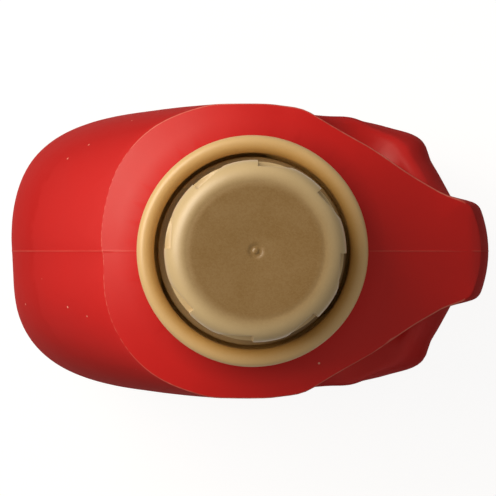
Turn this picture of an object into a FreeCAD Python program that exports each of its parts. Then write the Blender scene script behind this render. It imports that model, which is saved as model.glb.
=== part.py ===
"""Laundry detergent bottle: a hollow blow-moulded bottle with a through handle, a snap-on collar,
a drain-back pouring spout, two seals and a screw cap that doubles as a measuring cup.

Millimetres, +Z up. The origin is on the floor, under the axis of the neck and cap.
The pouring front looks along -X and the handle along +X. The bottle is the same on both sides of Y = 0.
"""

import FreeCAD
import Part

import math
import os
from collections import namedtuple

Vector = FreeCAD.Vector

# Overall size of the bottle
bottle_length = 154.0
body_depth = 93.0
shoulder_height = 174.0
shoulder_slope_deg = 22.0
bottle_wall = 1.2
crease_round = 0.7

# Plan shape of the body: a squared front, and sides that draw in to a tail.
# Low down the tail is a broad wedge. Higher up it runs straight in to a narrow handle.
widest_x = -4.0
front_square = 3.2
front_square_top = 2.15
wedge_start_x = 22.0
wedge_half = 29.5
wedge_end_half = 13.0
wedge_end_deg = 56.5
wedge_corner_ease = 4.0
taper_start_x = 10.5
taper_start_ease = 4.0
handle_half = 15.6
handle_run = 14.5
handle_run_ease = 3.0
nose_length = 12.0
nose_square = 2.4
front_points = 6
tail_points = 9
nose_points = 4
level_count = 12

# Foot: the body swells a little above a rounded heel, and a push-up leaves a standing ring
foot_height = 44.0
foot_inset = 6.0
foot_side_inset = 4.0
heel_round = 6.0
push_up_depth = 2.5
standing_ring = 3.0

# Lean of the front, the broad sides and the tail below the shoulder
front_lean = 39.0
front_lean_depth = 82.0
front_lean_power = 2.6
side_lean = 2.0
tail_lean = 14.0
tail_lean_depth = 74.0
tail_lean_power = 3.2
tail_top_round = 14.0
tail_top_run = 10.5
tail_top_slope_deg = 60.0

# Handle and finger opening
handle_thickness = 23.0
bridge_depth = 25.0
finger_width = 28.0
finger_height = 84.0
finger_tilt_deg = -4.0
finger_flare = 8.0
finger_sections = 7
rim_round = 4.0
waist_above = 29.0
waist_below = 19.0
waist_slant = 2.5

# Label panel, a shallow step in each broad side
panel_depth = 0.5
panel_front_margin = 20.0
panel_back_margin = 5.0
panel_bottom = 18.0
panel_top_drop = 84.0
panel_corner = 9.0

# Neck, and the collar that snaps over it
collar_outer_r = 34.6
collar_height = 13.0
lip_crown = 1.8
lip_round = 2.4
lip_round_share = 0.95
collar_foot_gap = 0.3
skirt_wall = 1.8
neck_wall = 1.8
inner_wall = 1.2
snap_fit = 0.2
bead_height = 0.8
bead_drop = 3.5
bead_ramp = 1.8
bead_catch = 0.6
ledge_width = 3.4
ledge_thickness = 1.6

# Seals
neck_seal_thickness = 1.2
neck_seal_fit = 0.1
cap_seal_thickness = 1.6
cap_seal_width = 2.1
cap_seal_fit = 0.3
seal_recess = 1.0

# Screw cap and measuring cup
cap_rise = 40.0
cap_gap = 1.1
cap_ledge = 2.25
cap_crown = 1.8
cap_edge_round = 4.0
cup_floor_round = 3.0
cup_wall = 2.65
skirt_depth = 16.0
flange_drop = 6.0
flange_thickness = 1.6
thread_depth = 1.1
skirt_lip = 0.8
mouth_wall = 2.6
mouth_chamfer = 3.0
disc_margin = 1.5
disc_step = 0.3
gate_dimple_r = 2.4
gate_dimple_depth = 0.5
gate_nub_r = 0.6

# Finger pockets round the cap
pocket_count = 8
pocket_depth = 1.45
pocket_sweep_deg = 23.0
pocket_height = 19.0
pocket_start_deg = -1.5

# Pouring spout
spout_gap = 5.4
spout_taper = 2.5
spout_wall = 1.4
spout_reach = 33.0
spout_cut_fall = 15.0
spout_slot = 9.0
spout_flange_thickness = 1.6
spout_flange_fit = 0.2
trough_depth = 7.0
trough_gap = 2.2

# How near two places must be to count as the same
same_place = 0.01

# Heights and radii that follow from the sizes above
half_length = bottle_length / 2
half_depth = body_depth / 2
shoulder_fall = math.tan(math.radians(shoulder_slope_deg))
lip_z = shoulder_height + collar_height
roof_z = lip_z - lip_crown
neck_top_z = roof_z - neck_seal_thickness
skirt_inner_r = collar_outer_r - skirt_wall
neck_outer_r = skirt_inner_r - snap_fit
neck_bore_r = neck_outer_r - neck_wall
collar_bore_r = neck_bore_r - snap_fit - inner_wall
body_top_z = shoulder_height + (collar_outer_r - collar_bore_r) * shoulder_fall
finger_middle_x = half_length - handle_thickness - finger_width / 2
finger_floor_z = shoulder_height - bridge_depth - finger_height
cap_top_z = lip_z + cap_rise
flange_r = collar_bore_r - cap_gap
knob_r = flange_r - cap_ledge
cup_r = knob_r - cup_wall
skirt_r = flange_r - thread_depth
skirt_bottom_z = lip_z - skirt_depth
seal_top_z = skirt_bottom_z + seal_recess
seal_bottom_z = seal_top_z - cap_seal_thickness
seal_outer_r = skirt_r - skirt_lip - cap_seal_fit
ledge_r = collar_bore_r - ledge_width
ledge_top_z = seal_bottom_z - spout_flange_thickness
spout_r = cup_r - spout_gap
spout_top_z = seal_bottom_z + spout_reach
trough_outer_r = ledge_r - trough_gap
trough_floor_z = seal_bottom_z - trough_depth

# One level of the body. Insets are measured in from half the length or half the depth.
Level = namedtuple("Level", "z front_inset side_inset back_inset wedge_inset front_power")


def mix(first, second, share):
    """Value part of the way from the first to the second."""
    return first + (second - first) * share


def share_between(value, low, high):
    """How far a value lies from low to high, kept within 0 and 1."""
    return min(1.0, max(0.0, (value - low) / (high - low)))


def body_level(z):
    """Plan sizes of the body at one height: foot, and lean under the shoulder."""
    foot = (1 - share_between(z, 0, foot_height)) ** 2
    front = share_between(z, shoulder_height - front_lean_depth, body_top_z)
    tail = share_between(z, shoulder_height - tail_lean_depth, body_top_z)
    return Level(
        z=z,
        front_inset=foot_inset * foot + front_lean * front ** front_lean_power,
        side_inset=foot_side_inset * foot + side_lean * front ** 2,
        back_inset=foot_inset * foot + tail_lean * tail ** tail_lean_power,
        wedge_inset=foot_side_inset * foot,
        front_power=mix(2 / front_square, 2 / front_square_top, front),
    )


def soft_least(first, second, ease):
    """Smaller of two values, eased where they are close."""
    near = max(0.0, ease - abs(first - second)) / ease
    return min(first, second) - near * near * ease / 4


def waist_share(x, z):
    """How far the wedge has drawn in to the handle. The waist climbs from the finger opening to the front."""
    start = finger_floor_z - waist_below + waist_slant * max(0.0, finger_middle_x - x)
    share = share_between(z, start, start + waist_below + waist_above)
    return share * share * (3 - 2 * share)


def tail_half(x, back_x, side_y, level, inset):
    """Half width of the tail: a broad wedge below the waist, and a straight run in to the handle above it."""
    side = mix(side_y, wedge_half - level.wedge_inset - inset, share_between(x, wedge_start_x, back_x) ** 2)
    corner = wedge_end_half - inset + (back_x - x) * math.tan(math.radians(wedge_end_deg))
    wedge = soft_least(side, corner, wedge_corner_ease)
    run_x = half_length - handle_run
    handle_y = handle_half - inset
    straight = mix(side_y, handle_y, (x - taper_start_x) / (run_x - taper_start_x))
    narrow = -soft_least(-soft_least(side_y, straight, taper_start_ease), -handle_y, handle_run_ease)
    return mix(wedge, narrow, waist_share(x, level.z))


def turned(profile):
    """Solid of revolution about Z from (radius, height) corners."""
    corners = [Vector(r, 0, z) for r, z in profile]
    face = Part.Face(Part.makePolygon(corners + corners[:1]))
    return face.revolve(Vector(0, 0, 0), Vector(0, 0, 1), 360)


def ring(inner_r, outer_r, bottom_z, top_z):
    """Plain ring with a square section."""
    return turned([(inner_r, bottom_z), (outer_r, bottom_z), (outer_r, top_z), (inner_r, top_z)])


def edges_shared(shape, is_first, is_second):
    """Edges of a shape that lie between a face of one kind and a face of another."""
    found = []
    for edge in shape.Edges:
        faces = shape.ancestorsOfType(edge, Part.Face)
        if len(faces) == 2:
            one, two = faces
            if (is_first(one) and is_second(two)) or (is_first(two) and is_second(one)):
                found.append(edge)
    return found


def plan_points(level, inset):
    """Closed plan outline at one level, drawn in by an inset."""
    front_x = -half_length + level.front_inset + inset
    back_x = half_length - level.back_inset - inset
    side_y = half_depth - level.side_inset - inset
    half = []
    for step in range(front_points):
        turn = math.radians(90 * step / front_points)
        half.append((
            mix(widest_x, front_x, math.cos(turn) ** level.front_power),
            side_y * math.sin(turn) ** level.front_power,
        ))
    nose_start = 1 - nose_length / (half_length - widest_x)
    stations = [(nose_start * step / tail_points, 1.0) for step in range(tail_points)]
    for step in range(nose_points + 1):
        turn = math.radians(90 * step / nose_points)
        end = math.cos(turn) ** (2 / nose_square) if step < nose_points else 0.0
        stations.append((mix(nose_start, 1, math.sin(turn)), end))
    for along, end in stations:
        x = mix(widest_x, back_x, along)
        half.append((x, end * tail_half(x, back_x, side_y, level, inset)))
    mirrored = [(x, -y) for x, y in half[-2:0:-1]]
    return [Vector(x, y, level.z) for x, y in half + mirrored]


def chord_shares(points):
    """Share of the outline's length at each point, ending at 1 back at the start."""
    lengths = [0.0]
    for first, second in zip(points, points[1:] + points[:1]):
        lengths.append(lengths[-1] + (second - first).Length)
    return [length / lengths[-1] for length in lengths]


def closed_curve(points, shares):
    """Smooth closed wire through points."""
    curve = Part.BSplineCurve()
    curve.interpolate(Points=points, PeriodicFlag=True, Parameters=shares)
    return Part.Wire([curve.toShape()])


def body_loft(inset):
    """Smooth body through every level, with a flat top that the shoulder has yet to cut."""
    heights = [body_top_z * step / (level_count - 1) for step in range(level_count)]
    outlines = [plan_points(body_level(z), inset) for z in heights]
    columns = zip(*[chord_shares(points) for points in outlines])
    shares = [sum(column) / level_count for column in columns]
    return Part.makeLoft([closed_curve(points, shares) for points in outlines], True, False, False)


def under_shoulder(inset, floor_z):
    """Everything between a floor and the sloping shoulder, drawn in by an inset. It rounds down at the tail."""
    slope = math.radians(shoulder_slope_deg)
    steep = math.radians(tail_top_slope_deg)
    bend_r = half_length - tail_top_run
    bend_z = shoulder_height - (bend_r - collar_outer_r) * shoulder_fall
    edge_r = half_length + tail_top_round

    def on_round(turn):
        return Vector(
            bend_r - tail_top_round * math.sin(slope) + (tail_top_round - inset) * math.sin(turn), 0,
            bend_z - tail_top_round * math.cos(slope) + (tail_top_round - inset) * math.cos(turn),
        )

    bend, middle, end = [on_round(turn) for turn in (slope, (slope + steep) / 2, steep)]
    peak = Vector(0, 0, bend.z + bend.x * shoulder_fall)
    edge = Vector(edge_r, 0, end.z - (edge_r - end.x) * math.tan(steep))
    rim = Vector(edge_r, 0, floor_z)
    middle_floor = Vector(0, 0, floor_z)
    outline = Part.Wire([
        Part.makeLine(peak, bend),
        Part.Arc(bend, middle, end).toShape(),
        Part.makeLine(end, edge),
        Part.makeLine(edge, rim),
        Part.makeLine(rim, middle_floor),
        Part.makeLine(middle_floor, peak),
    ])
    return Part.Face(outline).revolve(Vector(0, 0, 0), Vector(0, 0, 1), 360)


def finger_section(y, margin):
    """Rounded slot across the finger opening, wider the further it is from the mould line."""
    radius = finger_width / 2 + margin + finger_flare * (y / half_depth) ** 2
    low = finger_floor_z + finger_width / 2
    high = finger_floor_z + finger_height - finger_width / 2
    left, right = finger_middle_x - radius, finger_middle_x + radius
    corners = [Vector(left, y, low), Vector(left, y, high), Vector(right, y, high), Vector(right, y, low)]
    slot = Part.Wire([
        Part.LineSegment(corners[0], corners[1]).toShape(),
        Part.Arc(corners[1], Vector(finger_middle_x, y, high + radius), corners[2]).toShape(),
        Part.LineSegment(corners[2], corners[3]).toShape(),
        Part.Arc(corners[3], Vector(finger_middle_x, y, low - radius), corners[0]).toShape(),
    ])
    slot.rotate(Vector(finger_middle_x, 0, (low + high) / 2), Vector(0, 1, 0), finger_tilt_deg)
    return slot


def finger_opening(margin):
    """Hourglass through the tail of the body. It leaves a handle that is rounded on the inside."""
    reach = half_depth + rim_round
    places = [mix(-reach, reach, step / (finger_sections - 1)) for step in range(finger_sections)]
    return Part.makeLoft([finger_section(y, margin) for y in places], True, False, False)


def moulded_form(inset, floor_z):
    """Body with its finger opening, drawn in by an inset, with every edge rounded."""
    opening = finger_opening(inset)

    def is_shoulder(face):
        return face.Surface.TypeId in ("Part::GeomCone", "Part::GeomToroid")

    def is_floor(face):
        return face.Surface.TypeId == "Part::GeomPlane" and abs(face.CenterOfMass.z - floor_z) < same_place

    def is_loft(face):
        return face.Surface.TypeId == "Part::GeomBSplineSurface"

    def is_opening(face):
        u_low, u_high, v_low, v_high = face.ParameterRange
        middle = Part.Vertex(face.valueAt((u_low + u_high) / 2, (v_low + v_high) / 2))
        return is_loft(face) and opening.Shells[0].distToShape(middle)[0] < same_place

    def is_side(face):
        return is_loft(face) and not is_opening(face)

    form = body_loft(inset).common(under_shoulder(inset, floor_z)).Solids[0]
    form = form.makeFillet(heel_round - inset, edges_shared(form, is_floor, is_loft))
    if crease_round > inset:
        form = form.makeFillet(crease_round - inset, edges_shared(form, is_shoulder, is_loft))
    form = form.cut(opening).Solids[0]
    return form.makeFillet(rim_round - inset, edges_shared(form, is_opening, is_side))


def label_panels():
    """Rounded panels that step both broad sides in by the panel's depth."""
    left = -half_length + panel_front_margin
    right = finger_middle_x - finger_width / 2 - finger_flare - panel_back_margin
    height = shoulder_height - panel_top_drop - panel_bottom
    block = Part.makeBox(right - left, 2 * body_depth, height, Vector(left, -body_depth, panel_bottom))
    across = [edge for edge in block.Edges if edge.BoundBox.YLength > body_depth]
    return block.makeFillet(panel_corner, across).cut(body_loft(panel_depth))


def push_up():
    """Recess under the base that leaves only a ring to stand on."""
    points = plan_points(body_level(0.0), heel_round + standing_ring)
    return Part.Face(closed_curve(points, chord_shares(points))).extrude(Vector(0, 0, push_up_depth))


def snap_bead(inner_r, face_r, slack):
    """Ring with a sloping top and a steep underside, standing out from a round face."""
    bead_z = neck_top_z - bead_drop
    low = bead_z - bead_catch - slack
    high = bead_z + bead_ramp + slack
    return turned([
        (inner_r, low), (face_r, low), (face_r + bead_height, bead_z), (face_r, high), (inner_r, high),
    ])


def make_bottle():
    """Hollow bottle: outer form and neck, less the cavity and the neck's bore."""
    neck_root_z = shoulder_height - neck_bore_r * shoulder_fall
    cavity = moulded_form(bottle_wall, push_up_depth + bottle_wall)
    bottle = moulded_form(0.0, 0.0).cut(label_panels()).cut(push_up())
    bottle = bottle.fuse(ring(0, neck_outer_r, neck_root_z, neck_top_z))
    bottle = bottle.fuse(snap_bead(neck_bore_r, neck_outer_r, 0.0))
    print("capacity to the shoulder", round(cavity.Volume / 1e6, 3), "litres")
    return bottle.cut(cavity).cut(ring(0, neck_bore_r, neck_root_z, neck_top_z + lip_crown))


def rounded(shape, radius, spots):
    """Round the circular edges that lie at the given (radius, height) spots."""
    edges = []
    for edge in shape.Edges:
        if edge.Curve.TypeId == "Part::GeomCircle":
            here = (edge.Curve.Radius, edge.Curve.Center.z)
            if any(math.dist(here, spot) < same_place for spot in spots):
                edges.append(edge)
    return shape.makeFillet(radius, edges)


def make_collar():
    """Ring that snaps down over the neck. Its inner wall carries the spout on a ledge."""
    wall_outer_r = collar_bore_r + inner_wall
    foot_z = shoulder_height + collar_foot_gap
    ledge_bottom_z = ledge_top_z - ledge_thickness
    crown_round = min(lip_round, lip_round_share * (collar_outer_r - collar_bore_r) / 2)
    collar = turned([
        (collar_outer_r, foot_z), (collar_outer_r, lip_z), (collar_bore_r, lip_z),
        (collar_bore_r, ledge_top_z), (ledge_r, ledge_top_z), (ledge_r, ledge_bottom_z),
        (wall_outer_r, ledge_bottom_z), (wall_outer_r, roof_z), (skirt_inner_r, roof_z),
        (skirt_inner_r, foot_z + skirt_wall * shoulder_fall),
    ])
    collar = rounded(collar, crown_round, [(collar_outer_r, lip_z), (collar_bore_r, lip_z)])
    return collar.cut(snap_bead(neck_outer_r, skirt_inner_r, snap_fit))


def make_neck_seal():
    """Flat ring squeezed between the neck's rim and the roof of the collar."""
    return ring(neck_bore_r + neck_seal_fit, neck_outer_r - neck_seal_fit, neck_top_z, roof_z)


def make_pour_spout():
    """Pouring tube in a drip trough. Drips run round the trough and back in through the slot."""
    bore_r = spout_r - spout_wall
    tip_r = spout_r - spout_taper
    trough_r = trough_outer_r - spout_wall
    flange_outer_r = collar_bore_r - spout_flange_fit
    underside_z = trough_floor_z - spout_wall
    spout = turned([
        (bore_r, underside_z), (trough_outer_r, underside_z), (trough_outer_r, ledge_top_z),
        (flange_outer_r, ledge_top_z), (flange_outer_r, seal_bottom_z), (trough_r, seal_bottom_z),
        (trough_r, trough_floor_z), (spout_r, trough_floor_z), (tip_r, spout_top_z),
        (tip_r - spout_wall, spout_top_z),
    ])
    fall = spout_cut_fall / (2 * tip_r)
    front_z = spout_top_z + fall * (spout_r - tip_r)
    back_z = spout_top_z - fall * (spout_r + tip_r)
    above = Part.Face(Part.makePolygon([
        Vector(-spout_r, -spout_r, front_z), Vector(spout_r, -spout_r, back_z),
        Vector(spout_r, -spout_r, front_z), Vector(-spout_r, -spout_r, front_z),
    ])).extrude(Vector(0, 2 * spout_r, 0))
    slot = Part.makeBox(spout_r, spout_slot, spout_reach + trough_depth,
                        Vector(spout_wall, -spout_slot / 2, trough_floor_z))
    return spout.cut(above).cut(slot)


def make_cap_seal():
    """Flat ring at the cap's mouth. It closes on the spout's flange."""
    return ring(seal_outer_r - cap_seal_width, seal_outer_r, seal_bottom_z, seal_top_z)


def finger_pocket(step_deg):
    """One saw-tooth grip: a steep step, then a flat that runs out to the round wall."""
    def at(radius, angle_deg):
        angle = math.radians(angle_deg)
        return Vector(radius * math.cos(angle), radius * math.sin(angle), cap_top_z - pocket_height)

    end_deg = step_deg - pocket_sweep_deg
    outside_r = flange_r + pocket_depth
    corners = [
        at(knob_r - pocket_depth, step_deg), at(outside_r, step_deg),
        at(outside_r, end_deg), at(knob_r, end_deg),
    ]
    return Part.Face(Part.makePolygon(corners + corners[:1])).extrude(Vector(0, 0, 2 * pocket_height))


def make_cap():
    """Screw cap that turns over into a measuring cup."""
    flange_top_z = lip_z - flange_drop
    flange_bottom_z = flange_top_z - flange_thickness
    recess_r = skirt_r - skirt_lip
    mouth_r = skirt_r - mouth_wall
    ceiling_z = cap_top_z - cap_crown
    rim_z = cap_top_z - disc_step
    disc_r = knob_r - cap_edge_round - disc_margin
    cap = turned([
        (0, cap_top_z), (disc_r, cap_top_z), (disc_r, rim_z), (knob_r, rim_z),
        (knob_r, flange_top_z), (flange_r, flange_top_z),
        (flange_r, flange_bottom_z), (skirt_r, flange_bottom_z), (skirt_r, skirt_bottom_z),
        (recess_r, skirt_bottom_z), (recess_r, seal_top_z), (mouth_r, seal_top_z),
        (mouth_r, flange_bottom_z), (cup_r, flange_bottom_z + mouth_chamfer), (cup_r, ceiling_z),
        (0, ceiling_z),
    ])
    cap = rounded(cap, cap_edge_round, [(knob_r, rim_z)])
    cap = rounded(cap, cup_floor_round, [(cup_r, ceiling_z)])
    for pocket in range(pocket_count):
        cap = cap.cut(finger_pocket(pocket_start_deg + pocket * 360 / pocket_count))
    return cap.cut(ring(gate_nub_r, gate_dimple_r, cap_top_z - gate_dimple_depth, cap_top_z))


def main():
    os.makedirs("parts", exist_ok=True)
    parts = {
        "bottle": make_bottle(),
        "collar": make_collar(),
        "neck_seal": make_neck_seal(),
        "pour_spout": make_pour_spout(),
        "cap": make_cap(),
        "cap_seal": make_cap_seal(),
    }
    for name, shape in parts.items():
        print(name, len(shape.Solids), "solid", shape.isValid(), round(shape.Volume / 1000, 2), "cm3")
        shape.exportStep("parts/" + name + ".step")


main()
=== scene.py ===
# %% [markdown]
# # A laundry detergent bottle
#
# The object is a red blow-moulded bottle with a handle, a gold collar snapped over its neck, a pouring
# spout hidden inside and a gold screw cap that is also the measuring cup. A CAD model already holds every
# piece at its true size and place. It is loaded first as a fixed frame, in metres, and its box is kept,
# because the finished looks must not grow past it.

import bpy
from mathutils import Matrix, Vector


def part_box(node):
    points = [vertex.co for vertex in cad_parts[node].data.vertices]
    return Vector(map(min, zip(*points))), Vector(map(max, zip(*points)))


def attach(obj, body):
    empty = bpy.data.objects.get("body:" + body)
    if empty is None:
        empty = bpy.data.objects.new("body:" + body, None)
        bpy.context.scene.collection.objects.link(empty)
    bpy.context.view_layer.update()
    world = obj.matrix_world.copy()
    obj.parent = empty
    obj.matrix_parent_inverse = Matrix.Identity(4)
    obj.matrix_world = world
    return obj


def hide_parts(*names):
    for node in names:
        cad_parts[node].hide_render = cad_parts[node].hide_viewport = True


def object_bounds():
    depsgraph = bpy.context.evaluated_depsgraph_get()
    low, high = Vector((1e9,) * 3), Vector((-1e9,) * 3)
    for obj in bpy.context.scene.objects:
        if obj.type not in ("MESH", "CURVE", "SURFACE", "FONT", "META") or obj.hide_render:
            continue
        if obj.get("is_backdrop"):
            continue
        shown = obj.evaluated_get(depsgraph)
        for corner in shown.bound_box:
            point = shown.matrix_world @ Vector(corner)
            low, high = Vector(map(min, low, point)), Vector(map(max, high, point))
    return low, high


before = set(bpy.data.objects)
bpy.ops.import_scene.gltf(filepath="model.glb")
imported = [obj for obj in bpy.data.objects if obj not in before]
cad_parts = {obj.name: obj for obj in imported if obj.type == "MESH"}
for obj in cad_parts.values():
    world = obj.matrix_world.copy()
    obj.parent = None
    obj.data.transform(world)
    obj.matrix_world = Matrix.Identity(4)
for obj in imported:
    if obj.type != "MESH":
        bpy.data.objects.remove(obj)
cad_low, cad_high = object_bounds()
print("CAD box", [round(c, 4) for c in cad_low], [round(c, 4) for c in cad_high])

# %% [markdown]
# ## From a bmesh to a piece of the bottle
#
# A bmesh is Blender's mesh in the making. Each piece below is shaped in one and then becomes an object.
# The object stays at the origin, unturned and unscaled, so its place is in its mesh. Faces are shaded
# smooth, and edges that turn by more than a set angle stay sharp. The piece then rides a CAD body, which
# makes it move with that body, and stands for the CAD node that it is the finished form of.

# %% A helper that finishes a piece
import math

import bmesh
import bpy
from mathutils import Matrix, Vector
from mathutils.bvhtree import BVHTree

MM = 0.001


def finish_piece(name, bm, body, node, sharp_deg=35):
    """Make an object from a bmesh. It rides a body and stands for a CAD node."""
    mesh = bpy.data.meshes.new(name)
    bm.to_mesh(mesh)
    bm.free()
    mesh.shade_smooth()
    mesh.set_sharp_from_angle(angle=math.radians(sharp_deg))
    piece = bpy.data.objects.new(name, mesh)
    bpy.context.collection.objects.link(piece)
    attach(piece, body)
    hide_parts(node)
    print(name, len(mesh.polygons), "faces")
    return piece


# %% [markdown]
# ## The bottle's shell
#
# The bottle is one hollow shell, blown in a mould of two halves. Its double curves come from the CAD
# surface, so the shell is a copy of that node's mesh and not a second model that could drift away from it.
# The copy is loose triangles, so its doubles are merged before anything else is done.

# %% Copy and merge the shell
def merged_copy(node):
    """A bmesh with the joined-up mesh of a CAD node."""
    bm = bmesh.new()
    bm.from_mesh(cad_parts[node].data)
    bmesh.ops.remove_doubles(bm, verts=bm.verts, dist=0.001 * MM)
    return bm


shell = merged_copy("bottle")
print("shell", len(shell.verts), "vertices, volume", round(shell.calc_volume() * 1e6, 1), "cm3")

# %% [markdown]
# ## The crease's painted highlight
#
# The shoulder ends in a narrow crease all round, and its small round catches the light as a thin pale
# line. That line is painted into the colour as a highlight, so the material has to be told where it is. A
# number on each vertex does it: bmesh calls that a layer, and a shader reads it by its name. The crease is
# found by its faces, because only on it are all the faces round a vertex narrow and turned away from each
# other.

# %% Mark the crease
SHOULDER_FOOT = 140 * MM
COLLAR_COVER = 36 * MM      # nearer the axis than this, the collar hides the bottle
# The painted highlight stops before the handle's end, which is rounded off and has no crisp crease.
HIGHLIGHT_END = 63 * MM         # the end of the handle is rounded off and isn't rubbed
NARROW_FACE = 0.6 * MM
CREASE_TURN = math.radians(3)
CREASE_UP = 0.2             # least height of the unit normal, which leaves out the finger opening's rim


def face_height(face):
    """Height of a triangle over its longest side."""
    return 2 * face.calc_area() / max(edge.calc_length() for edge in face.edges)


painted_edge_highlight = shell.verts.layers.float.new("painted_edge_highlight")
painted_highlight_points = 0
for vert in shell.verts:
    high = vert.co.z > SHOULDER_FOOT and vert.normal.z > CREASE_UP
    bare = high and vert.co.xy.length > COLLAR_COVER and vert.co.x < HIGHLIGHT_END
    narrow = bare and all(face_height(face) < NARROW_FACE for face in vert.link_faces)
    if narrow and max(face.normal.angle(vert.normal) for face in vert.link_faces) > CREASE_TURN:
        vert[painted_edge_highlight] = 1.0
        painted_highlight_points += 1
print("scuffed points", painted_highlight_points)

# %% [markdown]
# ## The blasted sides, with painted shade
#
# The sides look more matt than the shoulder, as if their part of the mould were blasted coarser. A second
# layer tells the material which is which, by how far each point looks up. The same layer darkens the red on
# the sides: a painted shade for surfaces that look less up and face the light less. The steps round the
# label panels look up too, so in front of the handle all that is low counts as side.

# %% Mark the sides
SIDE_UP, SHOULDER_UP = 0.35, 0.8        # height of the unit normal on a side and on the shoulder
HANDLE_FROM = 20 * MM

matt_and_painted_shade = shell.verts.layers.float.new("matt_and_painted_shade")
for vert in shell.verts:
    looks_up = (vert.normal.z - SIDE_UP) / (SHOULDER_UP - SIDE_UP)
    if vert.co.z < SHOULDER_FOOT and vert.co.x < HANDLE_FROM:
        looks_up = 0.0
    vert[matt_and_painted_shade] = 1.0 - min(max(looks_up, 0.0), 1.0)
print("blasted points", sum(vert[matt_and_painted_shade] > 0.5 for vert in shell.verts))

# %% [markdown]
# ## The outline of the handle and the wedge
#
# Seen from above, the end of the handle is blunter than the CAD nose: its middle lies right, but its corners
# reach further back. A push that grows with the distance from the middle plane squares it. Where the shoulder
# narrows to the handle, its edge runs a little fuller than in the CAD, so a second push goes sideways. Low
# down, the corners of the wedge under the handle stand further back, so a third push moves those. All three
# fade in and out, so that the grip, the neck and the front keep their shape, and both faces of the wall move
# together.

# %% Push the outline
NOSE_FROM, NOSE_FULL = 58 * MM, 67 * MM
NOSE_FOOT, NOSE_HIGH = 95 * MM, 130 * MM
NOSE_CORNER = 16 * MM
NOSE_SQUARE = 4             # power by which the push gathers in the corners
NOSE_PUSH = 5.5 * MM
WAIST_FROM, WAIST_FULL = 8 * MM, 18 * MM
WAIST_FADE, WAIST_END = 34 * MM, 52 * MM
WAIST_SIDE, WAIST_EDGE = 8 * MM, 20 * MM
WAIST_CLEAR = 44 * MM       # from the axis, well clear of the collar
WAIST_FOOT, WAIST_HIGH = 118 * MM, 142 * MM
WAIST_PUSH = 1.4 * MM
WEDGE_FROM, WEDGE_FULL = 12 * MM, 30 * MM
WEDGE_SIDE, WEDGE_CORNER = 30 * MM, 40 * MM
WEDGE_HIGH, WEDGE_TOP = 70 * MM, 100 * MM
WEDGE_PUSH = 3.4 * MM


def eased(value, start, end):
    """Rise smoothly from 0 at the start to 1 at the end."""
    share = min(max((value - start) / (end - start), 0.0), 1.0)
    return share * share * (3 - 2 * share)


for vert in shell.verts:
    share = eased(vert.co.x, NOSE_FROM, NOSE_FULL) * eased(vert.co.z, NOSE_FOOT, NOSE_HIGH)
    vert.co.x += NOSE_PUSH * share * min(abs(vert.co.y) / NOSE_CORNER, 1.0) ** NOSE_SQUARE
    along = eased(vert.co.x, WAIST_FROM, WAIST_FULL) - eased(vert.co.x, WAIST_FADE, WAIST_END)
    aside = eased(abs(vert.co.y), WAIST_SIDE, WAIST_EDGE)
    aside *= eased(vert.co.xy.length, COLLAR_COVER, WAIST_CLEAR)
    share = along * aside * eased(vert.co.z, WAIST_FOOT, WAIST_HIGH)
    vert.co.y += math.copysign(WAIST_PUSH * share, vert.co.y)
    share = eased(abs(vert.co.y), WEDGE_SIDE, WEDGE_CORNER) * eased(vert.co.x, WEDGE_FROM, WEDGE_FULL)
    vert.co.x += WEDGE_PUSH * share * (1 - eased(vert.co.z, WEDGE_HIGH, WEDGE_TOP))
shell.normal_update()
print("handle's end at", round(max(vert.co.x for vert in shell.verts), 4), "m")

# %% [markdown]
# ## The mould seam
#
# Where the two mould halves met, a hair of plastic stands up along the middle of the bottle: down the
# front, over the shoulder, along the handle and round the finger opening. A bump in the material would have
# to be told where that line runs. Real geometry finds it by itself: cuts with bisect_plane leave a line of
# vertices in the middle plane, and lifting that line makes the ridge. The outermost cuts keep the ridge's
# shading from bleeding into the large faces beside it. The cavity lies in the same plane, so a ray to the
# side sorts the two: from a point off the outside it meets no wall. The ridge also gets a fainter painted
# highlight, a pale line where it catches the light.

# %% Raise the seam
SEAM_HALF_WIDTH = 0.25 * MM
SEAM_SHOULDER = 0.7 * MM
SEAM_HEIGHT = 0.12 * MM
SEAM_HIGHLIGHT = 0.4
ON_PLANE = 1e-6             # metres

walls = BVHTree.FromBMesh(shell)
for offset in (-SEAM_SHOULDER, -SEAM_HALF_WIDTH, 0, SEAM_HALF_WIDTH, SEAM_SHOULDER):
    bmesh.ops.bisect_plane(shell, geom=shell.verts[:] + shell.edges[:] + shell.faces[:], dist=1e-7,
                           plane_co=(0, offset, 0), plane_no=(0, 1, 0))
shell.normal_update()

seam_points = 0
sideways = Vector((0, 1, 0))
for vert in shell.verts:
    under_collar = vert.co.z > SHOULDER_FOOT and abs(vert.co.x) < COLLAR_COVER
    if abs(vert.co.y) > ON_PLANE or under_collar:
        continue
    if walls.ray_cast(vert.co + vert.normal * SEAM_HALF_WIDTH, sideways)[0] is None:
        lifted = vert.co + vert.normal * SEAM_HEIGHT
        vert.co.x = min(max(lifted.x, cad_low.x), cad_high.x)
        vert.co.z = max(lifted.z, cad_low.z)
        # A fainter painted highlight along the seam's ridge.
        vert[painted_edge_highlight] = max(vert[painted_edge_highlight], SEAM_HIGHLIGHT)
        seam_points += 1
print("seam points", seam_points)
bottle_shell = finish_piece("bottle_shell", shell, "bottle", "bottle")

# %% [markdown]
# ## Even shading
#
# A vertex normal is a mean of the face normals round it. Beside the narrow steps of the label panels, and
# along the fillets, that mean tilts the shading of the large faces and leaves blotches. The Weighted Normal
# modifier gives large faces more say, so the turn is seen on the narrow faces alone.

# %% Weight the normals
even_shading = bottle_shell.modifiers.new("even_shading", "WEIGHTED_NORMAL")
even_shading.keep_sharp = True
print("modifiers", [modifier.type for modifier in bottle_shell.modifiers])

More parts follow.
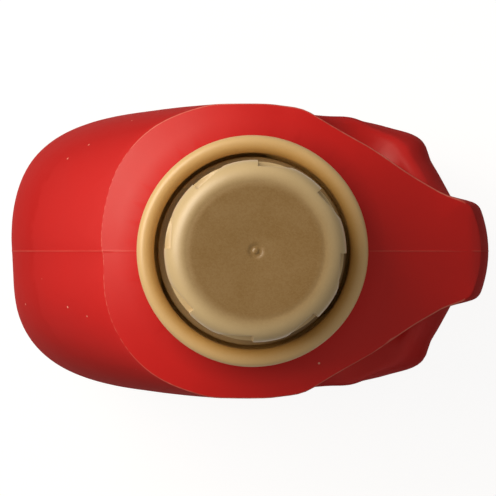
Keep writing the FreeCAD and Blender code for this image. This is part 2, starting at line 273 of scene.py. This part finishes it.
# %% [markdown]
# ## Sizes of the closure
#
# The collar, seals and cap fit each other, so their sizes come from the CAD nodes' boxes and not from a
# second set of numbers. Millimetres are the handier unit for shapes this small.

# %% Read the sizes of the closure
def round_size(node):
    """Outer radius, lowest and highest point of a round CAD node, in millimetres."""
    low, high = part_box(node)
    return high.x / MM, low.z / MM, high.z / MM


COLLAR_R, LEDGE_FOOT, LIP = round_size("collar")
NECK_SEAL_R, NECK_TOP, COLLAR_ROOF = round_size("neck_seal")
CAP_SEAL_R, SEAL_FOOT, SEAL_TOP = round_size("cap_seal")
FLANGE_R, SKIRT_FOOT, CAP_TOP = round_size("cap")
BORE_R = FLANGE_R + 1.1
print("collar", round(COLLAR_R, 2), "bore", round(BORE_R, 2))
print("lip", round(LIP, 2), "cap top", round(CAP_TOP, 2))

# %% [markdown]
# ## Turned pieces
#
# The collar, the cap and the seals are round, so each is a profile that is spun about the bottle's axis.
# A moulder never leaves an edge sharp, so every corner of a profile says how far it is rounded. Bevelling
# the corner's vertex while the profile is still a wire is the cheapest way: the spin then carries the
# rounding all the way round. A profile from axis to axis stays open, and a ring's profile closes on itself.

# %% A helper that spins a profile
def spun(profile, columns, closed):
    """Spin (radius, height, corner round) points, in millimetres, about Z."""
    bm = bmesh.new()
    corners = [bm.verts.new((r * MM, 0, z * MM)) for r, z, _ in profile]
    ends = corners[1:] + corners[:1] if closed else corners[1:]
    for first, second in zip(corners, ends):
        bm.edges.new((first, second))
    for corner, (_, _, size) in zip(corners, profile):
        if size:
            bmesh.ops.bevel(bm, geom=[corner], offset=size * MM, offset_type="OFFSET", affect="VERTICES",
                            segments=max(3, round(4 * size)), profile=0.5, material=-1)
    bmesh.ops.spin(bm, geom=bm.verts[:] + bm.edges[:], cent=(0, 0, 0), axis=(0, 0, 1),
                   angle=2 * math.pi, steps=columns, use_merge=True)
    bmesh.ops.remove_doubles(bm, verts=bm.verts, dist=0.001 * MM)
    bmesh.ops.recalc_face_normals(bm, faces=bm.faces)
    return bm


# %% [markdown]
# ## The screw thread
#
# Cap and collar hold each other by three ridges that start a third of a turn apart, so that the cap opens
# in well under one turn. One ridge is a small trapezoid that is spun and lifted at the same time: the
# operator's dvec is the lift of each step. The ridges fade out at both ends, as a real thread does.

# %% A helper that adds a thread
THREAD_STARTS = 3
THREAD_LEAD = 13.5          # rise in one turn, the same as the CAD coupling of lift to turn
THREAD_STEP_DEG = 4
THREAD_FADE_DEG = 16
THREAD_SINK = 0.3           # how far a ridge's foot reaches into its wall
THREAD_FOOT_HALF, THREAD_CREST_HALF = 0.95, 0.3


def add_thread(bm, wall_r, crest_r, low, high, first_deg):
    """Add three ridges that stand on a wall, in millimetres, between two heights."""
    inward = THREAD_SINK if crest_r > wall_r else -THREAD_SINK
    turn_deg = 360 * (high - low) / THREAD_LEAD
    steps = round(turn_deg / THREAD_STEP_DEG)
    section = ((wall_r - inward, -THREAD_FOOT_HALF), (crest_r, -THREAD_CREST_HALF),
               (crest_r, THREAD_CREST_HALF), (wall_r - inward, THREAD_FOOT_HALF))
    for start in range(THREAD_STARTS):
        ridge = bmesh.new()
        face = ridge.faces.new([ridge.verts.new((r * MM, 0, (low + z) * MM)) for r, z in section])
        bmesh.ops.spin(ridge, geom=[face], cent=(0, 0, 0), axis=(0, 0, 1), steps=steps,
                       angle=math.radians(turn_deg), dvec=(0, 0, (high - low) / steps * MM))
        for vert in ridge.verts:
            along = math.degrees(math.atan2(vert.co.y, vert.co.x)) % 360
            fade = min(1.0, along / THREAD_FADE_DEG, (turn_deg - along) / THREAD_FADE_DEG)
            radius = vert.co.xy.length
            shrunk = wall_r * MM - inward * MM + (radius - (wall_r - inward) * MM) * max(fade, 0.05)
            vert.co.xy *= shrunk / radius
        bmesh.ops.recalc_face_normals(ridge, faces=ridge.faces)
        turn = math.radians(first_deg + 360 / THREAD_STARTS * start)
        bmesh.ops.rotate(ridge, verts=ridge.verts, cent=(0, 0, 0), matrix=Matrix.Rotation(turn, 3, "Z"))
        part = bpy.data.meshes.new("ridge")
        ridge.to_mesh(part)
        ridge.free()
        bm.from_mesh(part)
        bpy.data.meshes.remove(part)


# %% [markdown]
# ## The collar
#
# The collar is the gold ring round the cap. Its lip is almost a full round, its outer skirt snaps over the
# neck, and its inner wall carries the thread and the ledge on which the spout sits. The profile goes up the
# outside, over the lip, down the bore and back up inside.

# %% Spin the collar
COLLAR_FOOT = LIP - 12.7
LEDGE = LEDGE_FOOT + 1.6
SKIRT_R = COLLAR_R - 1.8
BEAD = NECK_TOP - 3.5
LEDGE_WIDTH = 3.4
BORE_WALL = 1.2
LIP_ROUND = 2.5
COLLAR_COLUMNS = 160

collar_bm = spun([
    (COLLAR_R, COLLAR_FOOT, 0.3), (COLLAR_R, LIP, LIP_ROUND), (BORE_R, LIP, LIP_ROUND),
    (BORE_R, LEDGE, 0.2), (BORE_R - LEDGE_WIDTH, LEDGE, 0.4), (BORE_R - LEDGE_WIDTH, LEDGE_FOOT, 0.4),
    (BORE_R + BORE_WALL, LEDGE_FOOT, 0.4), (BORE_R + BORE_WALL, COLLAR_ROOF, 0.3),
    (SKIRT_R, COLLAR_ROOF, 0.3), (SKIRT_R, BEAD + 2.0, 0),
    (SKIRT_R + 0.8, BEAD, 0.2), (SKIRT_R, BEAD - 0.8, 0.1), (SKIRT_R, COLLAR_FOOT + 0.73, 0.1),
], COLLAR_COLUMNS, closed=True)
add_thread(collar_bm, wall_r=BORE_R, crest_r=BORE_R - 1.45, low=SKIRT_FOOT + 1.6, high=SKIRT_FOOT + 7.1,
           first_deg=60)
collar = finish_piece("collar_ring", collar_bm, "bottle", "collar")

# %% [markdown]
# ## The seals
#
# Two rings punched from white polyethylene foam keep the bottle tight: one between the neck's rim and the
# collar, one at the cap's mouth. They are plain rings with edges that the punch has drawn in a little.

# %% Spin the seals
NECK_SEAL_WIDTH, CAP_SEAL_WIDTH = 1.6, 2.1
SEAL_EDGE = 0.3
SEAL_COLUMNS = 128


def seal_ring(outer_r, width, foot, top):
    """A flat ring with softened edges."""
    inner_r = outer_r - width
    corners = ((inner_r, foot), (outer_r, foot), (outer_r, top), (inner_r, top))
    return spun([(r, z, SEAL_EDGE) for r, z in corners], SEAL_COLUMNS, closed=True)


neck_seal = finish_piece("neck_seal_ring", seal_ring(NECK_SEAL_R, NECK_SEAL_WIDTH, NECK_TOP, COLLAR_ROOF),
                         "bottle", "neck_seal")
cap_seal = finish_piece("cap_seal_ring", seal_ring(CAP_SEAL_R, CAP_SEAL_WIDTH, SEAL_FOOT, SEAL_TOP),
                        "cap_seal", "cap_seal")

# %% [markdown]
# ## The pouring spout
#
# Under the cap a tube with a slanting mouth stands in a trough, and a slot at its back lets drips run home.
# Its shape is a turned form with two cuts, which the CAD node has exactly. A merged copy keeps it, and a
# narrow bevel along the edges that turn sharply gives them the small round that catches the light.

# %% Round the spout's edges
SPOUT_EDGE = 0.22 * MM
FLAT_TURN = math.radians(0.6)
SHARP_TURN = math.radians(40)

spout_bm = merged_copy("pour_spout")
bmesh.ops.dissolve_limit(spout_bm, angle_limit=FLAT_TURN, verts=spout_bm.verts, edges=spout_bm.edges)
sharp = [edge for edge in spout_bm.edges if edge.is_manifold and edge.calc_face_angle() > SHARP_TURN]
bmesh.ops.bevel(spout_bm, geom=sharp, offset=SPOUT_EDGE, offset_type="OFFSET", affect="EDGES", segments=2,
                profile=0.5, material=-1, clamp_overlap=True)
pour_spout = finish_piece("pour_spout_tube", spout_bm, "bottle", "pour_spout")

# %% [markdown]
# ## The cap
#
# The cap is a cup turned upside down: a flat disc with the mark of the injection gate in its middle, a well
# rounded edge, a straight wall, a flange that just fits the collar, and a threaded skirt. Inside, two raised
# rings mark the doses. All of that is one profile from the axis, over the outside, and back to the axis
# inside. Extra points on the outer wall prepare the rows where the grips will end.

# %% Spin the cap
GRIPS = 8
GRIP_FLOOR = CAP_TOP - 19.0
CAP_COLUMNS = GRIPS * 24
KNOB_R = FLANGE_R - 2.25
CUP_R = KNOB_R - 2.65
THREAD_R = FLANGE_R - 1.1
MOUTH_R = THREAD_R - 2.6
FLANGE = SKIRT_FOOT + 8.4
EDGE_ROUND = 6.0
DISC_R = KNOB_R - EDGE_ROUND - 0.35
DISC_STEP = 0.15
DISC_SLOPE = 1.2
CAP_ROOF = 1.8
FLANGE_THICK = 1.6
GATE_DEPTH = 0.32
DOSES = (190.7, 208.0)

gate_mark = [(0, CAP_TOP, 0), (0.55, CAP_TOP - 0.02, 0.15), (0.95, CAP_TOP - GATE_DEPTH, 0.2),
             (1.6, CAP_TOP - GATE_DEPTH, 0.3), (2.4, CAP_TOP, 0.4)]
wall_rows = [(KNOB_R, GRIP_FLOOR + rise, 0) for rise in (0.9, 0.5, 0.25, 0.1, 0.02, 0.0)]
dose_rings = []
for dose in DOSES:
    dose_rings += [(CUP_R, dose - 0.4, 0), (CUP_R - 0.3, dose, 0.15), (CUP_R, dose + 0.4, 0)]

cap_bm = spun([
    *gate_mark, (DISC_R - DISC_SLOPE, CAP_TOP, 0.5), (DISC_R, CAP_TOP - DISC_STEP, 0.3),
    (KNOB_R, CAP_TOP - DISC_STEP, EDGE_ROUND), *wall_rows, (KNOB_R, FLANGE + FLANGE_THICK, 0.35),
    (FLANGE_R, FLANGE + FLANGE_THICK, 0.4), (FLANGE_R, FLANGE, 0.4), (THREAD_R, FLANGE, 0.3),
    (THREAD_R, SKIRT_FOOT, 0.25), (THREAD_R - 0.8, SKIRT_FOOT, 0.2), (THREAD_R - 0.8, SEAL_TOP, 0.15),
    (MOUTH_R, SEAL_TOP, 0.3), (MOUTH_R, FLANGE, 1.0), (CUP_R, FLANGE + 3.0, 1.0),
    *dose_rings, (CUP_R, CAP_TOP - CAP_ROOF, 3.0), (0, CAP_TOP - CAP_ROOF, 0),
], CAP_COLUMNS, closed=False)
print("cap", len(cap_bm.verts), "vertices")

# %% [markdown]
# ## The finger grips
#
# Eight saw-tooth pockets run round the cap. Each is a steep step, then a flat that runs out clockwise to the
# round wall. A boolean cut would leave long slivers in the rounded edge. Here the spun columns are first
# crowded towards the eight steps, and then every point of the outer wall is drawn in to the flat. A soft
# minimum of the two radii rounds the edge between flat and wall, as the mould's own tool radius does.

# %% Press the grips
GRIP_START_DEG = -1.5
GRIP_SWEEP = math.radians(23)
GRIP_DEEP_R = KNOB_R - 1.8
GRIP_CROWDING = 0.85
GRIP_EDGE = 0.2
GRIP_FLOOR_ROUND = 0.5


def flat_radius(angle):
    """Radius of the straight flat from the foot of a step out to the wall."""
    across = GRIP_DEEP_R * math.sin(angle) + KNOB_R * math.sin(GRIP_SWEEP - angle)
    return GRIP_DEEP_R * KNOB_R * math.sin(GRIP_SWEEP) / across


for vert in cap_bm.verts:
    radius, height = vert.co.xy.length / MM, vert.co.z / MM
    column = round(-math.atan2(vert.co.y, vert.co.x) / (2 * math.pi) * CAP_COLUMNS) % CAP_COLUMNS
    grip, place = divmod(column, CAP_COLUMNS // GRIPS)
    share = place * GRIPS / CAP_COLUMNS
    crowded = share - GRIP_CROWDING * math.sin(2 * math.pi * share) / (2 * math.pi)
    past_step = 2 * math.pi / GRIPS * crowded
    if share > 0 and radius > CUP_R + 0.1 and height > GRIP_FLOOR:
        sunk = min(1.0, (height - GRIP_FLOOR) / GRIP_FLOOR_ROUND)
        flat = flat_radius(past_step) + (1 - sunk) ** 2 * (KNOB_R - GRIP_DEEP_R)
        blend = max(GRIP_EDGE - abs(radius - flat), 0) / GRIP_EDGE
        radius = min(radius, flat) - blend * blend * GRIP_EDGE / 4
    angle = math.radians(GRIP_START_DEG) - 2 * math.pi / GRIPS * grip - past_step
    vert.co.x = radius * math.cos(angle) * MM
    vert.co.y = radius * math.sin(angle) * MM
add_thread(cap_bm, wall_r=THREAD_R, crest_r=FLANGE_R - 0.05, low=SKIRT_FOOT + 1.4, high=SKIRT_FOOT + 7.0,
           first_deg=0)
cap = finish_piece("cap_cup", cap_bm, "cap", "cap", sharp_deg=50)

# %% [markdown]
# ## Building a material
#
# A material is a small graph of nodes. One function adds a node, sets it up and links it, which keeps each
# graph short enough to read. Colours are written as the sRGB hex values that a painter would pick and turned
# to the linear values that the shader takes. Patterns use the object's own coordinates in metres, so a
# pattern's scale is the number of times that its real size goes into a metre.

# %% Helpers for materials
def linear(hex_colour):
    """sRGB hex to a linear colour with alpha 1."""
    parts = [int(hex_colour[place:place + 2], 16) / 255 for place in (1, 3, 5)]
    return [part / 12.92 if part <= 0.04045 else ((part + 0.055) / 1.055) ** 2.4 for part in parts] + [1.0]


def per_metre(size_mm):
    """How often a pattern of that size goes into a metre."""
    return 1 / (size_mm * MM)


def add_node(tree, kind, inputs, **settings):
    """Add a node. Inputs are values or sockets to link from."""
    node = tree.nodes.new(kind)
    for name, value in settings.items():
        setattr(node, name, value)
    for name, value in inputs.items():
        if isinstance(value, bpy.types.NodeSocket):
            tree.links.new(value, node.inputs[name])
        else:
            node.inputs[name].default_value = value
    return node


def new_material(name):
    """An empty material, with its Principled shader and its object coordinates."""
    material = bpy.data.materials.new(name)
    material.use_nodes = True
    tree = material.node_tree
    place = add_node(tree, "ShaderNodeTexCoord", {}).outputs["Object"]
    return material, tree, tree.nodes["Principled BSDF"], place


def dress(piece, material):
    """Give a piece one material."""
    piece.data.materials.clear()
    piece.data.materials.append(material)


# %% [markdown]
# ## Red HDPE, blow-moulded
#
# High-density polyethylene comes out of the mould with a satin skin: the mould is sand-blasted to let air
# out, and the soft plastic copies that fine grain. The wall is never quite even, so reflections waver slowly.
# The colour is a strong red with faint clouds where the pigment varies and a few pale specks of dust. A
# painted shade makes it deeper on the sides, which look less up, and a painted highlight makes a paler
# line along the crease and the seam, broken in places.

# %% Mix the red HDPE
red_hdpe, tree, shader, place = new_material("red_hdpe_blow_moulded")

clouds = add_node(tree, "ShaderNodeTexNoise", {"Vector": place, "Scale": per_metre(16), "Detail": 3.0})
cloud_red = add_node(tree, "ShaderNodeMix", {
    "Factor": clouds.outputs["Fac"], "A": linear("#C80906"), "B": linear("#D30D09")}, data_type="RGBA")
side = add_node(tree, "ShaderNodeAttribute", {}, attribute_name="matt_and_painted_shade")
# Painted shade: the red is deeper on the sides, which face the light less.
painted_side_shade_red = add_node(tree, "ShaderNodeMix", {
    "Factor": side.outputs["Fac"], "A": cloud_red.outputs["Result"], "B": linear("#B80402")},
    data_type="RGBA")
dust = add_node(tree, "ShaderNodeTexVoronoi", {"Vector": place, "Scale": per_metre(7)})
near_dust = add_node(tree, "ShaderNodeMapRange", {
    "Value": dust.outputs["Distance"], "From Min": 0.06, "From Max": 0.035, "To Min": 0.0, "To Max": 1.0})
rare = add_node(tree, "ShaderNodeSeparateColor", {"Color": dust.outputs["Color"]})
some_dust = add_node(tree, "ShaderNodeMath", {0: rare.outputs["Red"], 1: 0.72}, operation="GREATER_THAN")
dust_share = add_node(tree, "ShaderNodeMath", {
    0: near_dust.outputs["Result"], 1: some_dust.outputs["Value"]}, operation="MULTIPLY")
dusty_red = add_node(tree, "ShaderNodeMix", {
    "Factor": dust_share.outputs["Value"], "A": painted_side_shade_red.outputs["Result"], "B": linear("#E8A090")},
    data_type="RGBA")
# Painted highlight along the crease and the seam, patchy where the clouds are low.
marked = add_node(tree, "ShaderNodeAttribute", {}, attribute_name="painted_edge_highlight")
rubbed = add_node(tree, "ShaderNodeMapRange", {
    "Value": clouds.outputs["Fac"], "From Min": 0.35, "From Max": 0.65, "To Min": 0.35, "To Max": 0.9})
painted_highlight_share = add_node(tree, "ShaderNodeMath", {
    0: marked.outputs["Fac"], 1: rubbed.outputs["Result"]}, operation="MULTIPLY")
skin = add_node(tree, "ShaderNodeMix", {
    "Factor": painted_highlight_share.outputs["Value"], "A": dusty_red.outputs["Result"], "B": linear("#E58374")},
    data_type="RGBA")

# The sand-blasted grain is about 0.2 mm on the real wall; 0.7 mm is the finest that shows at this size.
grain = add_node(tree, "ShaderNodeTexNoise", {"Vector": place, "Scale": per_metre(0.7), "Detail": 2.0})
wander = add_node(tree, "ShaderNodeTexNoise", {"Vector": place, "Scale": per_metre(28), "Detail": 1.0})
wavy = add_node(tree, "ShaderNodeBump", {
    "Height": wander.outputs["Fac"], "Strength": 0.25, "Distance": 0.4 * MM})
rough_skin = add_node(tree, "ShaderNodeBump", {
    "Height": grain.outputs["Fac"], "Strength": 0.18, "Distance": 0.06 * MM,
    "Normal": wavy.outputs["Normal"]})
satin = add_node(tree, "ShaderNodeMapRange", {
    "Value": clouds.outputs["Fac"], "From Min": 0.3, "From Max": 0.7, "To Min": 0.45, "To Max": 0.51})
matt = add_node(tree, "ShaderNodeMath", {
    0: side.outputs["Fac"], 1: 0.48, 2: satin.outputs["Result"]}, operation="MULTIPLY_ADD")

shader.inputs["IOR"].default_value = 1.54
shader.inputs["Specular IOR Level"].default_value = 0.42
tree.links.new(skin.outputs["Result"], shader.inputs["Base Color"])
tree.links.new(matt.outputs["Value"], shader.inputs["Roughness"])
tree.links.new(rough_skin.outputs["Normal"], shader.inputs["Normal"])
dress(bottle_shell, red_hdpe)
print(red_hdpe.name, len(tree.nodes), "nodes")

# %% [markdown]
# ## Gold polypropylene, injection-moulded
#
# The collar, spout and cap are polypropylene with a pearl pigment, which gives a satin skin with a soft
# sheen, and the melt's flow shows as faint streaks. The melt enters the cap at the gate and spreads out.
# On the cap the colour is mixed by the distance from the axis: the disc keeps the duller shade, a painted
# sheen makes the rounded rim and wall paler, and painted shade makes the flange deep in the gap below dull
# again. It stays put in every view. The collar and spout are a lighter, warmer mix, and a painted highlight
# pales them towards the collar's outer edge.

# %% Mix the gold polypropylene
def pearl_gold(name, dull, pale, sheen_from_mm, shaded_past_mm):
    """Satin gold plastic, paler outwards by a painted sheen and dull past an outer radius by painted shade.
    """
    material, tree, shader, place = new_material(name)
    streaks = add_node(tree, "ShaderNodeTexNoise", {
        "Vector": place, "Scale": per_metre(9), "Detail": 3.0, "Distortion": 0.4})
    flat_place = add_node(tree, "ShaderNodeVectorMath", {0: place, 1: (1, 1, 0)}, operation="MULTIPLY")
    from_axis = add_node(tree, "ShaderNodeVectorMath", {0: flat_place.outputs["Vector"]}, operation="LENGTH")
    # Painted sheen: paler from where the surface turns, outwards from the axis.
    painted_rim_sheen = add_node(tree, "ShaderNodeMapRange", {
        "Value": from_axis.outputs["Value"], "From Min": sheen_from_mm[0] * MM, "From Max": sheen_from_mm[1] * MM,
        "To Min": 0.0, "To Max": 0.9}, interpolation_type="SMOOTHSTEP")
    # Painted shade: dull again past the outer radius, where the cap's flange lies deep in the gap.
    painted_flange_shade = add_node(tree, "ShaderNodeMapRange", {
        "Value": from_axis.outputs["Value"], "From Min": shaded_past_mm * MM, "From Max": (shaded_past_mm + 0.6) * MM,
        "To Min": 1.0, "To Max": 0.2}, interpolation_type="SMOOTHSTEP")
    painted_sheen = add_node(tree, "ShaderNodeMath", {
        0: painted_rim_sheen.outputs["Result"], 1: painted_flange_shade.outputs["Result"]}, operation="MULTIPLY")
    streaks_and_painted_sheen = add_node(tree, "ShaderNodeMath", {
        0: streaks.outputs["Fac"], 1: 0.14, 2: painted_sheen.outputs["Value"]}, operation="MULTIPLY_ADD")
    shade = add_node(tree, "ShaderNodeMix", {
        "Factor": streaks_and_painted_sheen.outputs["Value"], "A": linear(dull), "B": linear(pale)}, data_type="RGBA")
    # Pearl flakes are about 0.05 mm; 0.4 mm cells are the finest that show at this size.
    flakes = add_node(tree, "ShaderNodeTexVoronoi", {"Vector": place, "Scale": per_metre(0.4)})
    flake_tone = add_node(tree, "ShaderNodeSeparateColor", {"Color": flakes.outputs["Color"]})
    glint = add_node(tree, "ShaderNodeMath", {0: flake_tone.outputs["Red"], 1: 0.06}, operation="MULTIPLY")
    pearl = add_node(tree, "ShaderNodeMix", {
        "Factor": glint.outputs["Value"], "A": shade.outputs["Result"], "B": linear("#E6D2A0")},
        data_type="RGBA")
    satin = add_node(tree, "ShaderNodeMapRange", {
        "Value": streaks.outputs["Fac"], "From Min": 0.3, "From Max": 0.7, "To Min": 0.38, "To Max": 0.44})
    flow = add_node(tree, "ShaderNodeBump", {
        "Height": streaks.outputs["Fac"], "Strength": 0.1, "Distance": 0.06 * MM})
    # Plain polypropylene has an index of about 1.49. The pearl flakes mirror more, so it is set higher.
    shader.inputs["IOR"].default_value = 1.72
    tree.links.new(pearl.outputs["Result"], shader.inputs["Base Color"])
    tree.links.new(satin.outputs["Result"], shader.inputs["Roughness"])
    tree.links.new(flow.outputs["Normal"], shader.inputs["Normal"])
    print(name, len(tree.nodes), "nodes")
    return material


# The cap gets a painted sheen on its rim and painted shade on its flange; the collar and spout get a painted
# highlight towards the collar's outer edge.
dress(cap, pearl_gold("gold_pearl_polypropylene_cap", "#805E24", "#D0B88A", (DISC_R - 2.0, KNOB_R - 2.0),
                      KNOB_R + 0.1))
collar_gold = pearl_gold("gold_pearl_polypropylene_collar", "#C0924A", "#DFBD84", (BORE_R, COLLAR_R),
                         COLLAR_R)
for piece in (collar, pour_spout):
    dress(piece, collar_gold)

# %% [markdown]
# ## White polyethylene foam, punched
#
# Closed-cell foam has a skin of tiny bubbles: matt, off-white, and dimpled when seen close.

# %% Mix the foam
white_foam, tree, shader, place = new_material("white_polyethylene_foam_punched")

bubbles = add_node(tree, "ShaderNodeTexVoronoi", {"Vector": place, "Scale": per_metre(0.45)})
foam_tone = add_node(tree, "ShaderNodeMix", {
    "Factor": bubbles.outputs["Distance"], "A": linear("#D8D3C7"), "B": linear("#EFECE4")}, data_type="RGBA")
dimples = add_node(tree, "ShaderNodeBump", {
    "Height": bubbles.outputs["Distance"], "Strength": 0.5, "Distance": 0.1 * MM})

shader.inputs["IOR"].default_value = 1.5
shader.inputs["Roughness"].default_value = 0.85
tree.links.new(foam_tone.outputs["Result"], shader.inputs["Base Color"])
tree.links.new(dimples.outputs["Normal"], shader.inputs["Normal"])
for piece in (neck_seal, cap_seal):
    dress(piece, white_foam)
print(white_foam.name, len(tree.nodes), "nodes")

# %% [markdown]
# ## The floor
#
# The bottle stands on a light table: a plain sheet that glows white where the bottle stands and fades to
# grey further out. Camera, glossy and transmission rays all see that glow at one strength, so the
# plastic mirrors the background that the eye sees. The sheet's own colour is a mid grey. The lamp then adds
# little to the glow, and the bottle's shadow on it is kept but faint.

# %% Lay the floor
TABLE_GLOW = 0.9
TABLE_GLOW_FAR = 0.22
TABLE_BRIGHT_TO, TABLE_FADED_AT = 0.125, 0.3
FLOOR_HALF = 6.0
FLOOR_DROP = 0.05 * MM      # keeps the sheet clear of the bottle's foot

floor_bm = bmesh.new()
bmesh.ops.create_grid(floor_bm, x_segments=1, y_segments=1, size=FLOOR_HALF,
                      matrix=Matrix.Translation((0, 0, -FLOOR_DROP)))
floor_mesh = bpy.data.meshes.new("floor")
floor_bm.to_mesh(floor_mesh)
floor_bm.free()
floor = bpy.data.objects.new("floor", floor_mesh)
bpy.context.collection.objects.link(floor)
floor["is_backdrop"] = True


def where_seen(tree, strength):
    """A strength for camera, glossy and transmission rays alike, and none for the rays that carry light."""
    path = add_node(tree, "ShaderNodeLightPath", {})
    bounced = add_node(tree, "ShaderNodeMath", {
        0: path.outputs["Is Glossy Ray"], 1: path.outputs["Is Transmission Ray"]}, operation="MAXIMUM")
    seen = add_node(tree, "ShaderNodeMath", {
        0: path.outputs["Is Camera Ray"], 1: bounced.outputs["Value"]}, operation="MAXIMUM")
    return add_node(tree, "ShaderNodeMath", {
        0: seen.outputs["Value"], 1: strength}, operation="MULTIPLY").outputs["Value"]


table, tree, shader, place = new_material("glowing_light_table")
distance = add_node(tree, "ShaderNodeVectorMath", {0: place}, operation="LENGTH")
glow = add_node(tree, "ShaderNodeMapRange", {
    "Value": distance.outputs["Value"], "From Min": TABLE_BRIGHT_TO, "From Max": TABLE_FADED_AT,
    "To Min": TABLE_GLOW, "To Max": TABLE_GLOW_FAR}, interpolation_type="SMOOTHSTEP")
shader.inputs["Base Color"].default_value = linear("#6E6D6B")
shader.inputs["Roughness"].default_value = 0.9
shader.inputs["Emission Color"].default_value = linear("#FFFFFF")
tree.links.new(where_seen(tree, glow.outputs["Result"]), shader.inputs["Emission Strength"])
dress(floor, table)
print("floor", round(floor.dimensions.x, 2), "m wide")

# %% [markdown]
# ## The light
#
# One broad warm softbox stands to the left of the bottle, a little towards its far side, and halfway up. The
# left of the shoulder is bright and mirrors it softly, and the handle lies in the cap's shade. The room adds
# a dim even light. Where it is seen or mirrored, the room is paler at eye level than overhead.

# %% Set the softbox and the room
SOFTBOX_HEADING = math.radians(150)     # from +X, so left and a little towards +Y
SOFTBOX_ELEVATION = math.radians(38)
SOFTBOX_DISTANCE = 1.1
SOFTBOX_WIDTH, SOFTBOX_HEIGHT = 1.1, 0.6
SOFTBOX_POWER = 13.0
WARM_WHITE = linear("#FFF3E2")
ROOM_LIGHT = 0.3
ROOM_WALLS = 0.15           # added at eye level, where the room is seen or mirrored
ROOM_DARK_FROM = 0.75       # height on the unit sphere above which only the dim light is left

aim = Vector((0, 0, 150 * MM))
towards = Vector((math.cos(SOFTBOX_ELEVATION) * math.cos(SOFTBOX_HEADING),
                  math.cos(SOFTBOX_ELEVATION) * math.sin(SOFTBOX_HEADING), math.sin(SOFTBOX_ELEVATION)))
lamp = bpy.data.lights.new("softbox", "AREA")
lamp.shape = "RECTANGLE"
lamp.size, lamp.size_y = SOFTBOX_WIDTH, SOFTBOX_HEIGHT
lamp.energy = SOFTBOX_POWER
lamp.color = WARM_WHITE[:3]
softbox = bpy.data.objects.new("softbox", lamp)
softbox.location = aim + towards * SOFTBOX_DISTANCE
softbox.rotation_euler = towards.to_track_quat("Z", "Y").to_euler()
bpy.context.collection.objects.link(softbox)

world = bpy.data.worlds.new("studio_room")
bpy.context.scene.world = world
world.use_nodes = True
tree = world.node_tree
tree.nodes.clear()
direction = add_node(tree, "ShaderNodeTexCoord", {}).outputs["Generated"]
upward = add_node(tree, "ShaderNodeSeparateXYZ", {"Vector": direction})
room_walls = add_node(tree, "ShaderNodeMapRange", {
    "Value": upward.outputs["Z"], "From Min": 0.0, "From Max": ROOM_DARK_FROM,
    "To Min": ROOM_WALLS, "To Max": 0.0}, interpolation_type="SMOOTHSTEP")
level = add_node(tree, "ShaderNodeMath", {
    0: where_seen(tree, room_walls.outputs["Result"]), 1: ROOM_LIGHT}, operation="ADD")
backdrop = add_node(tree, "ShaderNodeBackground", {"Color": WARM_WHITE, "Strength": level.outputs["Value"]})
add_node(tree, "ShaderNodeOutputWorld", {"Surface": backdrop.outputs["Background"]})
print("softbox at", [round(c, 3) for c in softbox.location])

# %% [markdown]
# ## The camera
#
# The photograph looks almost straight down on the cap from a little under a metre above the lip, through a
# long lens. The image's up is the bottle's +Y, and the handle points right.

# %% Place the camera
CAMERA_PLACE = Vector((-18.9, 0.0, 1027.0)) * MM
CAMERA_AIM = Vector((-1.4, 0.9, 187.0)) * MM
CAMERA_LENS = 204.9

lens = bpy.data.cameras.new("camera")
lens.lens = CAMERA_LENS
lens.sensor_width = 36.0
camera = bpy.data.objects.new("camera", lens)
bpy.context.collection.objects.link(camera)
back = (CAMERA_PLACE - CAMERA_AIM).normalized()
right = Vector((0, 1, 0)).cross(back).normalized()
turned = Matrix((right, back.cross(right), back)).transposed().to_4x4()
camera.matrix_world = Matrix.Translation(CAMERA_PLACE) @ turned
bpy.context.scene.camera = camera
bpy.context.scene.view_settings.view_transform = "Standard"
print("camera", [round(c, 3) for c in camera.location], "lens", lens.lens)

# %% [markdown]
# ## Finish
#
# The box of the finished pieces is printed after the CAD box, so that the two can be compared.

low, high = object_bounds()
print("visual box", [round(c, 4) for c in low], [round(c, 4) for c in high])
